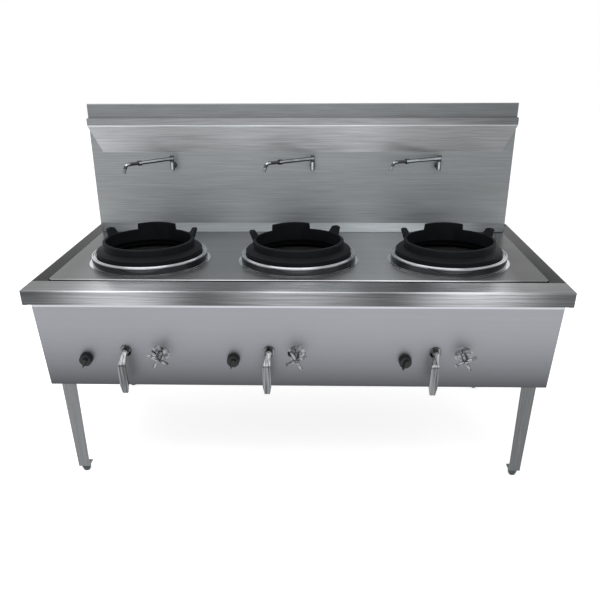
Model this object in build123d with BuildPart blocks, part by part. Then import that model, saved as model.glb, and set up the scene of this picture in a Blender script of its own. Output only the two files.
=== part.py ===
"""Free-standing three-burner wok range with water-swept deck, swing faucets and knee-operated gas.

Frame: X to the right, -Y towards the cook, Z up, origin on the floor at the middle of the whole box.
Inside the script a place is given as (x, depth, height): depth runs back from the rim's front face and
height runs up from the deck. Things on the front panel stand on its slanted face, along its normal.
"""

from build123d import *
from math import atan, cos, radians, sin, tan
import os

os.makedirs("parts", exist_ok=True)

# ---- overall sizes, mm
range_width = 1800.0
rim_depth = 940.0
deck_height = 774.0
control_reach = 14.0  # how far the foremost control stands in front of the rim

# ---- sheet metal
rim_sheet = 2.0
panel_sheet = 1.5
bend = 3.0  # outer radius of a fold

# ---- rim with its gutters
rim_height = 49.0
front_return = 24.0
side_return = 16.0
drip_lip = 6.5
front_strip = 106.0
rear_strip = 15.0
gutter_depth = 32.0
front_gutter = 47.0
side_slope = 62.0
slope_bend = 4.0
side_gutter = 82.0
rear_gutter = 22.0
drain_inset = 200.0
drain_radius = 21.0
drain_wall = 3.0
drain_length = 38.0

# ---- deck
deck_inset = 49.0
deck_gap = 13.0
deck_rear_gap = 3.0
deck_lip = 12.0
deck_corner_cut = 12.0

# ---- body panels
panel_drop = 370.5
panel_bottom_setback = 62.0
panel_tuck = 16.0
panel_return = 20.0

# ---- splashback
splash_foot_depth = 781.0
splash_foot_kick = 8.0
splash_foot_height = 40.7
splash_lean = 31.5
splash_height = 499.5
splash_top_fold = 14.0
splash_hem = 8.0
splash_side_fold = 20.0
cover_gap = 3.3
cover_depth = 137.0
cover_wall_height = 360.0
cover_top_height = 470.0
cover_flange = 16.0

# ---- ledge along the splashback
ledge_reach = 26.0
ledge_top = 449.0
ledge_band = 27.0
ledge_bottom = 320.0
ledge_hip = 46.0

# ---- legs and feet
leg_inset = 20.0
leg_front_depth = 90.0
leg_rear_depth = 895.0
leg_top_width = 63.0
leg_bottom_width = 43.0
leg_draw_in = 8.0
leg_plate = 3.0
foot_height = 28.0
foot_radius = 19.0
foot_sole_radius = 12.0
foot_stem_radius = 6.0
foot_stem_length = 24.0
foot_plate = 5.0

# ---- burners
burner_count = 3
burner_spacing = 550.0
burner_depth = 367.0
deck_hole_radius = 190.0
ring_foot_radius = 221.0
ring_foot = 2.0
ring_wall_radius = 213.0
ring_rim_radius = 209.0
ring_height = 30.0
ring_bead = 8.0
ring_bead_crown = 3.0
ring_seat_radius = 193.0
ring_seat_height = 14.0
ring_bore_radius = 181.0
pot_radius = 186.0
pot_wall = 3.0
pot_depth = 230.0
pot_straight = 150.0
pot_bottom_radius = 122.0
pot_opening_radius = 50.0
pot_flange_radius = 203.0
burner_radius = 78.0
burner_drop = 150.0
burner_thickness = 18.0
burner_edge = 3.0
burner_cone = 10.0
burner_post_radius = 6.0
burner_post_circle = 64.0
jet_length = 22.0
jet_radius = 7.0
jet_circles = ((12, 62.0), (6, 32.0))
mixer_radius = 19.0
mixer_drop = 270.0
mixer_mouth_depth = 165.0
mixer_mouth_radius = 27.0
mixer_mouth_length = 25.0

# ---- cast-iron wok rest
rest_clearance = 1.5
rest_wall = 11.0
rest_step_height = 45.0
rest_edge = 3.0
rest_collar_radius = 166.0
rest_collar_height = 77.0
rest_bore_radius = 155.0
rest_lug_height = 101.0
rest_lug_arch = 3.0
rest_rear_lug = (148.0, 143.0, 0.0)  # width at the foot, width at the top, outward lean
rest_side_lug = (54.0, 35.0, 16.0)
rest_side_lug_angle = 66.0
rest_turns = (0.0, 13.0, 0.0)

# ---- controls on the front panel
knob_x = (-733.0, -218.0, 376.0)
lever_x = (-591.0, -94.0, 478.0)
tap_x = (-471.0, 1.5, 575.0)
knob_drop = 260.0
lever_drop = 229.5
tap_drop = 237.5
shaft_clearance = 0.05
panel_clearance = 0.5

cock_rosette_radius = 20.0
cock_rosette = 6.0
cock_neck_radius = 12.0
cock_body_radius = 16.0
cock_body_length = 70.0
cock_tail_radius = 10.0
feed_radius = 8.0
manifold_radius = 16.85
manifold_setback = 135.0
lever_spindle_radius = 5.0
lever_spindle_depth = 20.0
lever_hub_radius = 12.0
lever_hub_length = 13.5
lever_root = 8.0
lever_neck_width = 15.0
lever_knee_drop = 37.0
lever_knee_reach = 58.0
lever_knee_width = 26.0
lever_side_step = 6.0
lever_length = 140.5
lever_tip_reach = 50.0
lever_thickness = 9.0
paddle_width = 29.5
paddle_tip_width = 19.0
paddle_tip = 28.0
lever_corner = 2.0

knob_radius = 22.5
knob_barrel = 20.0
knob_edge = 2.0
knob_taper = 5.0
knob_height = 33.0
knob_gap = 5.0
grip_round = (8.0, 9.5)  # offset up the knob, radius
grip_point = (-22.5, 3.0)
grip_taper = 7.0
knob_press = 4.0
knob_rest_turn = -22.0
stem_radius = 4.0
stem_depth = 24.0
pilot_valve_radius = 12.0
pilot_valve_length = 36.0
pilot_neck_radius = 7.0
push_collar_radius = 7.0
pilot_tube_radius = 3.0
pilot_offset = 95.0

tap_rosette_radius = 31.0
tap_bonnet_radius = 10.0
tap_bonnet = 25.0
tap_neck_radius = 11.0
tap_body_radius = 14.0
tap_body_length = 60.0
tap_outlet_setback = 45.0
handle_hub_radius = 11.0
handle_cap_radius = 8.0
handle_arm = 38.0
handle_arm_radius = 6.5
handle_arm_taper = 2.2
handle_rest_turns = (-28.0, 27.0, 27.0)

# ---- water pipes and faucets
water_main_radius = 10.65
water_main_depth = 70.0
water_main_drop = 290.0
water_tube_radius = 7.5
water_tube_drop = 120.0
water_lane_x = (-320.0, 240.0, 320.0)
riser_depth = 860.0
inlet_inset = 120.0
inlet_collar = 2.0

faucet_x = (-519.0, 46.8, 552.4)
faucet_depth = 752.0
faucet_bottom = 255.7
faucet_split = 288.3
faucet_top = 314.0
faucet_radius = 8.5
faucet_edge = 2.0
faucet_spigot_radius = 5.5
faucet_pipe_height = 272.0
faucet_pipe_radius = 7.0
faucet_flange_radius = 12.0
faucet_flange = 5.0
swivel_gap = 0.3
arm_rest_angles = (228.0, 216.0, 208.0)
arm_radius = 7.5
arm_collar_start = 147.0
arm_collar_radius = 9.7
arm_core_radius = 4.5
arm_grip_start = 162.0
arm_grip_end = 202.0
grip_radius = 6.3
spout_radius = 6.6
spout_line = ((209.0, 0.0), (215.0, -4.0), (219.5, -11.0), (230.0, -28.0))  # reach, rise
aerator_radius = 7.4
aerator_length = 5.0

# ---- places that follow from the sizes above
half_width = range_width / 2
drain_x = drain_inset - half_width
gas_inlet_x = half_width - inlet_inset
water_inlet_x = -gas_inlet_x
front_y = (control_reach - rim_depth) / 2
panel_top_setback = front_return + rim_sheet
panel_slope = (panel_bottom_setback - panel_top_setback) / (panel_drop - rim_height)
panel_angle = atan(panel_slope)
panel_half = half_width - side_return - rim_sheet
panel_rear = rim_depth - side_return - rim_sheet
inlet_length = side_return + rim_sheet - 2 * panel_clearance
curb_x = half_width - side_gutter
curb_front = front_strip + front_gutter
curb_rear = rim_depth - rear_strip - rear_gutter
deck_half = half_width - deck_inset
deck_front = front_strip + deck_gap
deck_rear = rim_depth - rear_strip - deck_rear_gap
cover_rear = splash_foot_depth + cover_depth
leg_bottom = -deck_height + foot_height
mixer_x = [burner_spacing * (n - (burner_count - 1) / 2) for n in range(burner_count)]
stations = range(burner_count)
side_view = Plane(origin=(0, front_y, deck_height), x_dir=(0, 1, 0), z_dir=(1, 0, 0))


def place(x, depth, height):
    """A point given by its depth behind the rim face and its height above the deck."""
    return Vector(x, front_y + depth, deck_height + height)


def level(height):
    """Horizontal plane for (x, depth) sketches."""
    return Plane(origin=place(0, 0, height), x_dir=(1, 0, 0), z_dir=(0, 0, 1))


def upright(depth, x=0.0):
    """Vertical plane facing the cook for (x, height) sketches."""
    return Plane(origin=place(x, depth, 0), x_dir=(1, 0, 0), z_dir=(0, -1, 0))


def panel_depth(drop):
    """Depth of the slanted front panel's outer face at a distance below the deck."""
    return panel_top_setback + (drop - rim_height) * panel_slope


def on_panel(x, drop, out=0.0):
    """Plane parallel to the front panel, a distance out along its normal."""
    normal = Vector(0, -cos(panel_angle), -sin(panel_angle))
    foot = place(x, panel_depth(drop), -drop)
    return Plane(origin=foot + normal * out, x_dir=(1, 0, 0), z_dir=normal)


def behind_panel(drop, distance):
    """Depth and height of a point behind the front panel, along its normal."""
    depth = panel_depth(drop) + distance * cos(panel_angle)
    return depth, -drop + distance * sin(panel_angle)


def splash_depth(height):
    """Depth of the splashback's front face above its foot strip."""
    share = (height - splash_foot_height) / (splash_height - splash_foot_height)
    return splash_foot_depth - splash_foot_kick + splash_lean * share


def folded(plane, points, thickness, side, radius=bend):
    """Cross-section of a folded sheet, from the line of its outer face."""
    with BuildSketch(plane) as section:
        with BuildLine():
            FilletPolyline(*points, radius=radius)
            offset(amount=thickness, side=side)
        make_face()
    return section.sketch


def disc(plane, radius):
    """A round section on a plane."""
    with BuildSketch(plane) as section:
        Circle(radius)
    return section.sketch


def tube(points, radius):
    """A round bar along straight runs that meet in mitres."""
    with BuildPart() as bar:
        with BuildLine() as route:
            Polyline(*points)
        end = disc(Plane(origin=points[0], z_dir=points[1] - points[0]), radius)
        sweep(end, path=route.wire(), transition=Transition.RIGHT)
    return bar.part


def keep(piece, name):
    """Names a finished piece and writes it."""
    piece.part.label = name
    export_step(piece.part, f"parts/{name}.step")


# ---------------------------------------------------------------- rim with gutters
front_rail = [
    (front_return, -rim_height - drip_lip),
    (front_return, -rim_height),
    (0, -rim_height),
    (0, 0),
    (front_strip, 0),
    (front_strip, -gutter_depth),
    (curb_front + rim_sheet, -gutter_depth),
]
rear_rail = [
    (rim_depth - side_return, -rim_height - drip_lip),
    (rim_depth - side_return, -rim_height),
    (rim_depth, -rim_height),
    (rim_depth, 0),
    (rim_depth - rear_strip, 0),
    (rim_depth - rear_strip, -gutter_depth),
    (curb_rear - rim_sheet, -gutter_depth),
]
side_fascia = [
    (half_width - side_return, -rim_height),
    (half_width, -rim_height),
    (half_width, 0),
]
side_gutter_fold = [
    (half_width - rim_sheet / 2, -rim_sheet / 2 * gutter_depth / side_slope),
    (half_width - side_slope, -gutter_depth),
    (curb_x - rim_sheet, -gutter_depth),
]

with BuildPart() as top_frame:
    extrude(folded(side_view, front_rail, rim_sheet, Side.RIGHT), amount=half_width)
    extrude(folded(side_view, rear_rail, rim_sheet, Side.LEFT), amount=half_width)
    with BuildSketch(upright(front_strip - rim_sheet)) as under_slope:
        with BuildLine():
            Polyline(
                (half_width - rim_sheet, -2 * rim_sheet),
                (half_width - rim_sheet, -gutter_depth - 2 * rim_sheet),
                (half_width - side_slope, -gutter_depth - 2 * rim_sheet),
                (half_width - side_slope, -gutter_depth - rim_sheet),
                close=True,
            )
        make_face()
    extrude(amount=front_strip + rear_strip - rim_depth - 2 * rim_sheet, mode=Mode.SUBTRACT)
    extrude(folded(upright(0), side_fascia, rim_sheet, Side.LEFT), amount=-rim_depth)
    side_run = rim_depth - front_strip - rear_strip + 2 * rim_sheet
    slope_start = upright(front_strip - rim_sheet)
    slope = folded(slope_start, side_gutter_fold, rim_sheet, Side.LEFT, slope_bend)
    extrude(slope, amount=-side_run)
    mirror(about=Plane.YZ)
    with BuildSketch(level(-gutter_depth - rim_sheet)) as curb:
        with Locations((0, (curb_front + curb_rear) / 2)):
            Rectangle(2 * curb_x, curb_rear - curb_front)
        offset(amount=-rim_sheet, mode=Mode.SUBTRACT)
    extrude(amount=gutter_depth)
    with BuildSketch(level(-gutter_depth - rim_sheet)) as spigot:
        with Locations((drain_x, (front_strip + curb_front) / 2)):
            Circle(drain_radius)
    extrude(amount=-drain_length)
    with BuildSketch(level(-gutter_depth - rim_sheet - drain_length)) as drain_bore:
        with Locations((drain_x, (front_strip + curb_front) / 2)):
            Circle(drain_radius - drain_wall)
    extrude(amount=drain_length + 2 * rim_sheet, mode=Mode.SUBTRACT)
keep(top_frame, "top_frame")

# ---------------------------------------------------------------- deck
with BuildPart() as deck_plate:
    with BuildSketch(level(0)) as outline:
        with Locations((0, (deck_front + deck_rear) / 2)):
            Rectangle(2 * deck_half, deck_rear - deck_front)
        chamfer(outline.vertices().group_by(Axis.Y)[0], length=deck_corner_cut)
    extrude(amount=-deck_lip)
    fillet(deck_plate.faces().sort_by(Axis.Z)[-1].edges(), radius=bend)
    with BuildSketch(level(-rim_sheet)) as underside:
        with Locations((0, (deck_front + deck_rear) / 2)):
            Rectangle(2 * (deck_half - rim_sheet), deck_rear - deck_front - 2 * rim_sheet)
        chamfer(underside.vertices().group_by(Axis.Y)[0], length=deck_corner_cut)
    extrude(amount=rim_sheet - deck_lip, mode=Mode.SUBTRACT)
    with BuildSketch(level(-deck_lip)) as deck_holes:
        with Locations(*[(x, burner_depth) for x in mixer_x]):
            Circle(deck_hole_radius)
        with Locations(*[(x, riser_depth) for x in faucet_x]):
            Circle(water_tube_radius + 2 * panel_clearance)
    extrude(amount=deck_lip, mode=Mode.SUBTRACT)
keep(deck_plate, "deck_plate")

# ---------------------------------------------------------------- body panels
with BuildPart() as front_panel:
    front_fold = [
        (panel_depth(panel_tuck), -panel_tuck),
        (panel_bottom_setback, -panel_drop),
        (panel_bottom_setback + panel_return, -panel_drop),
    ]
    extrude(folded(side_view, front_fold, panel_sheet, Side.LEFT), amount=panel_half, both=True)
    for places, drop, neck in (
        (knob_x, knob_drop, pilot_neck_radius),
        (lever_x, lever_drop, cock_neck_radius),
        (tap_x, tap_drop, tap_neck_radius),
    ):
        for x in places:
            hole = disc(on_panel(x, drop), neck + panel_clearance)
            extrude(hole, amount=2 * panel_sheet, both=True, mode=Mode.SUBTRACT)
keep(front_panel, "front_panel")

relief = panel_return + bend
for side, name in ((-1, "side_panel_left"), (1, "side_panel_right")):
    with BuildPart() as side_panel:
        side_fold = [
            (side * (panel_half - panel_return), -panel_drop),
            (side * panel_half, -panel_drop),
            (side * panel_half, -panel_tuck),
        ]
        inner = Side.LEFT if side > 0 else Side.RIGHT
        extrude(folded(upright(panel_rear), side_fold, panel_sheet, inner), amount=panel_rear)
        front_edge = panel_sheet / cos(panel_angle)
        with BuildSketch(side_view) as cheek:
            with BuildLine():
                Polyline(
                    (panel_depth(0) + front_edge, 0),
                    (panel_depth(2 * panel_drop) + front_edge, -2 * panel_drop),
                    (panel_rear, -2 * panel_drop),
                    (panel_rear, 0),
                    close=True,
                )
            make_face()
        extrude(amount=half_width, both=True, mode=Mode.INTERSECT)
        with BuildSketch(side_view) as corner_reliefs:
            with Locations(
                (panel_bottom_setback + relief / 2, -panel_drop),
                (panel_rear - relief / 2, -panel_drop),
            ):
                Rectangle(relief, 2 * bend)
        extrude(amount=half_width, both=True, mode=Mode.SUBTRACT)
    keep(side_panel, name)

gas_depth, gas_height = behind_panel(lever_drop, manifold_setback)
inlet_holes = (
    (gas_inlet_x, gas_height, manifold_radius + inlet_collar),
    (water_inlet_x, -water_main_drop, water_main_radius + inlet_collar),
)
with BuildPart() as rear_panel:
    rear_fold = [
        (panel_rear - panel_return, -panel_drop),
        (panel_rear, -panel_drop),
        (panel_rear, -gutter_depth - 2 * rim_sheet),
    ]
    rear_half = panel_half - panel_sheet
    extrude(folded(side_view, rear_fold, panel_sheet, Side.LEFT), amount=rear_half, both=True)
    with BuildSketch(upright(panel_rear)) as pipe_holes:
        for x, height, radius in inlet_holes:
            with Locations((x, height)):
                Circle(radius + panel_clearance)
    extrude(amount=panel_return / 2, mode=Mode.SUBTRACT)
keep(rear_panel, "rear_panel")

# ---------------------------------------------------------------- splashback
splash_top_depth = splash_depth(splash_height)
splash_face = [
    (splash_foot_depth + splash_side_fold, 0),
    (splash_foot_depth, 0),
    (splash_foot_depth - splash_foot_kick, splash_foot_height),
    (splash_top_depth, splash_height),
    (splash_top_depth + splash_top_fold, splash_height),
    (splash_top_depth + splash_top_fold, splash_height - splash_hem),
]
with BuildPart() as splash_sheet:
    extrude(folded(side_view, splash_face, panel_sheet, Side.RIGHT), amount=deck_half, both=True)
    with BuildSketch(side_view) as side_return:
        with BuildLine():
            Polyline(
                (splash_foot_depth + panel_sheet, panel_sheet),
                (splash_foot_depth - splash_foot_kick + panel_sheet, splash_foot_height),
                (splash_top_depth + panel_sheet, splash_height - panel_sheet),
                (splash_top_depth + splash_top_fold, splash_height - splash_hem),
                (splash_depth(splash_foot_height) + splash_side_fold, splash_foot_height),
                (splash_foot_depth + splash_side_fold, panel_sheet),
                close=True,
            )
        make_face()
    for x in (-deck_half, deck_half - panel_sheet):
        extrude(side_return.sketch.moved(Location((x, 0, 0))), amount=panel_sheet)
    with BuildSketch(upright(0)) as faucet_holes:
        with Locations(*[(x, faucet_pipe_height) for x in faucet_x]):
            Circle(faucet_pipe_radius + panel_clearance)
    extrude(amount=-rim_depth, mode=Mode.SUBTRACT)
keep(splash_sheet, "splash_sheet")

cover_half = deck_half - splash_side_fold
with BuildPart() as splash_cover:
    cover_fold = [
        (cover_rear - panel_return, 0),
        (cover_rear, 0),
        (cover_rear, cover_wall_height),
        (splash_depth(cover_top_height) + cover_gap, cover_top_height),
        (
            splash_depth(cover_top_height + cover_flange) + cover_gap,
            cover_top_height + cover_flange,
        ),
    ]
    extrude(folded(side_view, cover_fold, panel_sheet, Side.LEFT), amount=cover_half, both=True)
    with BuildSketch(side_view) as cover_end:
        with BuildLine():
            Polyline(
                (splash_foot_depth + splash_side_fold + panel_sheet, 0),
                (splash_depth(cover_wall_height) + splash_side_fold, cover_wall_height),
                (splash_depth(cover_top_height) + cover_gap, cover_top_height - 0.7 * panel_sheet),
                (cover_rear - panel_sheet / 2, cover_wall_height - panel_sheet / 4),
                (cover_rear - panel_sheet / 2, 0),
                close=True,
            )
        make_face()
    for x in (-cover_half, cover_half - panel_sheet):
        extrude(cover_end.sketch.moved(Location((x, 0, 0))), amount=panel_sheet)
keep(splash_cover, "splash_cover")


def hopper(inset):
    """The ledge's outer form, or its inner one when inset by the sheet's thickness."""
    top = ledge_top - inset
    fold = ledge_top - ledge_band
    bottom = ledge_bottom + 4 * inset
    half = deck_half - inset
    with BuildPart() as form:
        with BuildSketch(side_view) as profile:
            with BuildLine():
                Polyline(
                    (splash_depth(top) - ledge_reach + inset, top),
                    (splash_depth(fold) - ledge_reach + inset, fold),
                    (splash_depth(bottom), bottom),
                    (splash_depth(top), top),
                    close=True,
                )
            make_face()
        extrude(amount=half, both=True)
        with BuildSketch(upright(0)) as face:
            with BuildLine():
                Polyline(
                    (-half, top),
                    (half, top),
                    (half, fold),
                    (half - ledge_hip, bottom),
                    (ledge_hip - half, bottom),
                    (-half, fold),
                    close=True,
                )
            make_face()
        extrude(amount=-rim_depth, mode=Mode.INTERSECT)
    return form.part


with BuildPart() as splash_ledge:
    add(hopper(0))
    add(hopper(panel_sheet), mode=Mode.SUBTRACT)
keep(splash_ledge, "splash_ledge")


# ---------------------------------------------------------------- legs and feet
def angle_section(side, back, height, draw_in, width):
    """L-shaped leg section; its outer corner is drawn in and its flanges shrink towards the floor."""
    corner_x = side * (panel_half - leg_inset - draw_in)
    run = -1 if back else 1
    corner = leg_rear_depth - draw_in if back else leg_front_depth + draw_in
    with BuildSketch(level(height)) as section:
        with BuildLine():
            Polyline(
                (corner_x, corner),
                (corner_x - side * width, corner),
                (corner_x - side * width, corner + run * rim_sheet),
                (corner_x - side * rim_sheet, corner + run * rim_sheet),
                (corner_x - side * rim_sheet, corner + run * width),
                (corner_x, corner + run * width),
                close=True,
            )
        make_face()
    return section.sketch, corner_x - side * width / 2, corner + run * width / 2


leg_top = -gutter_depth - rim_sheet
for side, side_name in ((-1, "left"), (1, "right")):
    for back, end_name in ((False, "front"), (True, "rear")):
        upper, top_x, top_depth = angle_section(side, back, leg_top - leg_plate, 0, leg_top_width)
        lower, foot_x, foot_depth = angle_section(side, back, leg_bottom, leg_draw_in, leg_bottom_width)
        with BuildPart() as leg:
            loft([upper, lower])
            with BuildSketch(level(leg_top - leg_plate)) as cap:
                with Locations((top_x, top_depth)):
                    Rectangle(leg_top_width, leg_top_width)
            extrude(amount=leg_plate)
            with BuildSketch(level(leg_bottom)) as sole:
                with Locations((foot_x, foot_depth)):
                    Rectangle(leg_bottom_width - rim_sheet, leg_bottom_width - rim_sheet)
                    Circle(foot_stem_radius + shaft_clearance, mode=Mode.SUBTRACT)
            extrude(amount=foot_plate)
        keep(leg, f"leg_{end_name}_{side_name}")

        with BuildPart() as foot:
            with BuildSketch(level(-deck_height)) as foot_sole:
                with Locations((foot_x, foot_depth)):
                    Circle(foot_sole_radius)
            with BuildSketch(level(foot_height / 2 - deck_height)) as foot_cup:
                with Locations((foot_x, foot_depth)):
                    Circle(foot_radius)
            loft()
            extrude(foot_cup.sketch, amount=foot_height / 2 - swivel_gap)
            with BuildSketch(level(leg_bottom - swivel_gap)) as foot_stem:
                with Locations((foot_x, foot_depth)):
                    Circle(foot_stem_radius)
            extrude(amount=foot_stem_length)
        keep(foot, f"foot_{end_name}_{side_name}")


# ---------------------------------------------------------------- burners
def turned(*points):
    """A turned piece about the upright axis of the middle burner, from (radius, height) points."""
    with BuildPart() as piece:
        with BuildSketch(upright(burner_depth)) as outline:
            with BuildLine():
                Polyline(*points, close=True)
            make_face()
        revolve(axis=burner_axis)
    return piece.part


def along(places):
    """Locations along the range for a piece built on the middle line."""
    return [Location((x, 0, 0)) for x in places]


def keep_set(piece, name, spots):
    """Writes one copy of a piece for each of its locations."""
    for n, spot in enumerate(spots):
        copy = piece.part.moved(spot)
        copy.label = f"{name}_{n + 1}"
        export_step(copy, f"parts/{name}_{n + 1}.step")


burner_axis = Axis(place(0, burner_depth, 0), (0, 0, 1))
with BuildPart() as chamber_ring:
    bead_foot = ring_height - ring_bead_crown
    outer_bead = ring_rim_radius - ring_bead
    add(
        turned(
            (ring_seat_radius, bead_foot),
            (ring_seat_radius, ring_seat_height),
            (ring_bore_radius, ring_seat_height),
            (ring_bore_radius, 0),
            (ring_foot_radius, 0),
            (ring_foot_radius, ring_foot),
            (ring_wall_radius, ring_foot),
            (ring_rim_radius, bead_foot - ring_bead_crown),
            (ring_rim_radius, bead_foot),
            (ring_rim_radius - ring_bead / 4, ring_height),
            (outer_bead + ring_bead / 4, ring_height),
            (outer_bead, bead_foot),
            (outer_bead - ring_bead / 4, ring_height),
            (ring_seat_radius + ring_bead / 4, ring_height),
        )
    )
keep_set(chamber_ring, "chamber_ring", along(mixer_x))

with BuildPart() as burner_pot:
    add(
        turned(
            (pot_flange_radius, -rim_sheet),
            (pot_flange_radius, -rim_sheet - pot_wall),
            (pot_radius, -rim_sheet - pot_wall),
            (pot_radius, -pot_straight),
            (pot_bottom_radius, -pot_depth),
            (pot_opening_radius, -pot_depth),
            (pot_opening_radius, pot_wall - pot_depth),
            (pot_bottom_radius - pot_wall, pot_wall - pot_depth),
            (pot_radius - pot_wall, -pot_straight),
            (pot_radius - pot_wall, -rim_sheet),
        )
    )
    with BuildSketch(level(-pot_depth)) as pilot_hole:
        with Locations((-pilot_offset, burner_depth)):
            Circle(pilot_tube_radius + 2 * panel_clearance)
    extrude(amount=pot_wall, mode=Mode.SUBTRACT)
keep_set(burner_pot, "burner_pot", along(mixer_x))


def rest_lug(foot_width, top_width, lean):
    """A lug standing on the back of the collar, narrowing and leaning outward to an arched top."""
    foot = rest_collar_height - 2 * rest_edge
    shoulder = rest_lug_height - rest_lug_arch
    root = burner_depth + rest_bore_radius
    crest = burner_depth + rest_collar_radius
    with BuildPart() as lug:
        with BuildSketch(upright(burner_depth)) as outline:
            with BuildLine():
                Polyline(
                    (-top_width / 2, shoulder),
                    (-foot_width / 2, foot),
                    (foot_width / 2, foot),
                    (top_width / 2, shoulder),
                )
                ThreePointArc(
                    (top_width / 2, shoulder),
                    (0, rest_lug_height),
                    (-top_width / 2, shoulder),
                )
            make_face()
        extrude(amount=-rest_collar_radius - 2 * lean)
        if lean:
            with BuildSketch(side_view) as lean_side:
                with BuildLine():
                    Polyline(
                        (root, foot),
                        (crest, foot),
                        (crest + lean, rest_lug_height),
                        (root + lean, rest_lug_height),
                        close=True,
                    )
                make_face()
            extrude(amount=foot_width, both=True, mode=Mode.INTERSECT)
        else:
            with BuildSketch(level(0)) as band:
                with Locations((0, burner_depth)):
                    Circle(rest_collar_radius)
                    Circle(rest_bore_radius, mode=Mode.SUBTRACT)
            extrude(amount=rest_lug_height, mode=Mode.INTERSECT)
    return lug.part


seat_radius = ring_seat_radius - rest_clearance
with BuildPart() as wok_rest:
    add(
        turned(
            (seat_radius, ring_seat_height),
            (seat_radius, rest_step_height - rest_edge),
            (seat_radius - rest_edge, rest_step_height),
            (rest_collar_radius + rest_edge, rest_step_height + rest_edge),
            (rest_collar_radius, rest_step_height + 2 * rest_edge),
            (rest_collar_radius, rest_collar_height - rest_edge),
            (rest_collar_radius - rest_edge, rest_collar_height),
            (rest_bore_radius, rest_collar_height),
            (rest_bore_radius, rest_step_height - rest_wall),
            (seat_radius - rest_wall, rest_step_height - rest_wall - rest_edge),
            (seat_radius - rest_wall, ring_seat_height),
        )
    )
    add(rest_lug(*rest_rear_lug))
    for turn in (-rest_side_lug_angle, rest_side_lug_angle):
        add(rest_lug(*rest_side_lug).rotate(burner_axis, turn))
middle = Location(-place(0, burner_depth, 0))
rest_spots = [
    Location(place(x, burner_depth, 0), (0, 0, turn)) * middle
    for x, turn in zip(mixer_x, rest_turns)
]
keep_set(wok_rest, "wok_rest", rest_spots)

drum_foot = -burner_drop - burner_thickness
with BuildPart() as jet_burner:
    add(
        turned(
            (0, -burner_drop),
            (burner_radius - burner_edge, -burner_drop),
            (burner_radius, -burner_drop - burner_edge),
            (burner_radius, drum_foot),
            (0, drum_foot - burner_cone),
        )
    )
    with BuildSketch(level(-burner_drop - burner_edge)) as jets:
        with Locations((0, burner_depth)):
            RegularPolygon(jet_radius, 6)
            for count, circle in jet_circles:
                with PolarLocations(circle, count):
                    RegularPolygon(jet_radius, 6)
    extrude(amount=jet_length + burner_edge)
    with BuildSketch(level(pot_wall - pot_depth)) as posts:
        with Locations((0, burner_depth)):
            with PolarLocations(burner_post_circle, 3, start_angle=30):
                RegularPolygon(burner_post_radius, 6)
    extrude(amount=pot_depth - pot_wall + drum_foot + burner_edge)
    mixer_route = [
        place(0, burner_depth, drum_foot - burner_edge),
        place(0, burner_depth, -mixer_drop),
        place(0, mixer_mouth_depth + mixer_mouth_length / 2, -mixer_drop),
    ]
    add(tube(mixer_route, mixer_radius))
    with BuildSketch(upright(mixer_mouth_depth)) as mouth:
        with Locations((0, -mixer_drop)):
            Circle(mixer_mouth_radius)
    with BuildSketch(upright(mixer_mouth_depth + mixer_mouth_length)) as throat:
        with Locations((0, -mixer_drop)):
            Circle(mixer_radius)
    loft()
    with BuildSketch(upright(mixer_mouth_depth)) as mouth_bore:
        with Locations((0, -mixer_drop)):
            Circle(mixer_radius - pot_wall)
    extrude(amount=-2 * mixer_mouth_length, mode=Mode.SUBTRACT)
keep_set(jet_burner, "jet_burner", along(mixer_x))

# ---------------------------------------------------------------- gas supply
with BuildPart() as gas_manifold:
    gas_route = [
        place(knob_x[0] - 1.5 * manifold_radius, gas_depth, gas_height),
        place(gas_inlet_x, gas_depth, gas_height),
        place(gas_inlet_x, rim_depth, gas_height),
    ]
    add(tube(gas_route, manifold_radius))
    with BuildSketch(upright(rim_depth)) as nipple:
        with Locations((gas_inlet_x, gas_height)):
            Circle(manifold_radius + inlet_collar)
    extrude(amount=inlet_length)
    with BuildSketch(upright(rim_depth)) as bore:
        with Locations((gas_inlet_x, gas_height)):
            Circle(manifold_radius - drain_wall)
    extrude(amount=inlet_length, mode=Mode.SUBTRACT)
keep(gas_manifold, "gas_manifold")

manifold_line = Plane(origin=place(0, gas_depth, gas_height), x_dir=(0, 1, 0), z_dir=(1, 0, 0))
feed_depth, feed_height = behind_panel(lever_drop, cock_body_length - cock_body_radius)
for n in stations:
    x = lever_x[n]
    with BuildPart() as gas_cock:
        extrude(disc(on_panel(x, lever_drop), cock_rosette_radius), amount=cock_rosette)
        extrude(disc(on_panel(x, lever_drop, -panel_sheet), cock_neck_radius), amount=panel_sheet)
        cock_body = disc(on_panel(x, lever_drop, -panel_sheet), cock_body_radius)
        extrude(cock_body, amount=panel_sheet - cock_body_length)
        cock_tail = disc(on_panel(x, lever_drop, -cock_body_length), cock_tail_radius)
        extrude(cock_tail, amount=cock_body_length - manifold_setback)
        extrude(disc(manifold_line, manifold_radius), amount=range_width, both=True, mode=Mode.SUBTRACT)
        feed_route = [
            place(x, feed_depth, feed_height),
            place(x, feed_depth, -mixer_drop),
            place(mixer_x[n], feed_depth, -mixer_drop),
            place(mixer_x[n], mixer_mouth_depth - swivel_gap, -mixer_drop),
        ]
        add(tube(feed_route, feed_radius))
        spindle_bore = disc(on_panel(x, lever_drop, cock_rosette), lever_spindle_radius + shaft_clearance)
        extrude(spindle_bore, amount=-cock_rosette - lever_spindle_depth, mode=Mode.SUBTRACT)
    keep(gas_cock, f"gas_cock_{n + 1}")

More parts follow.
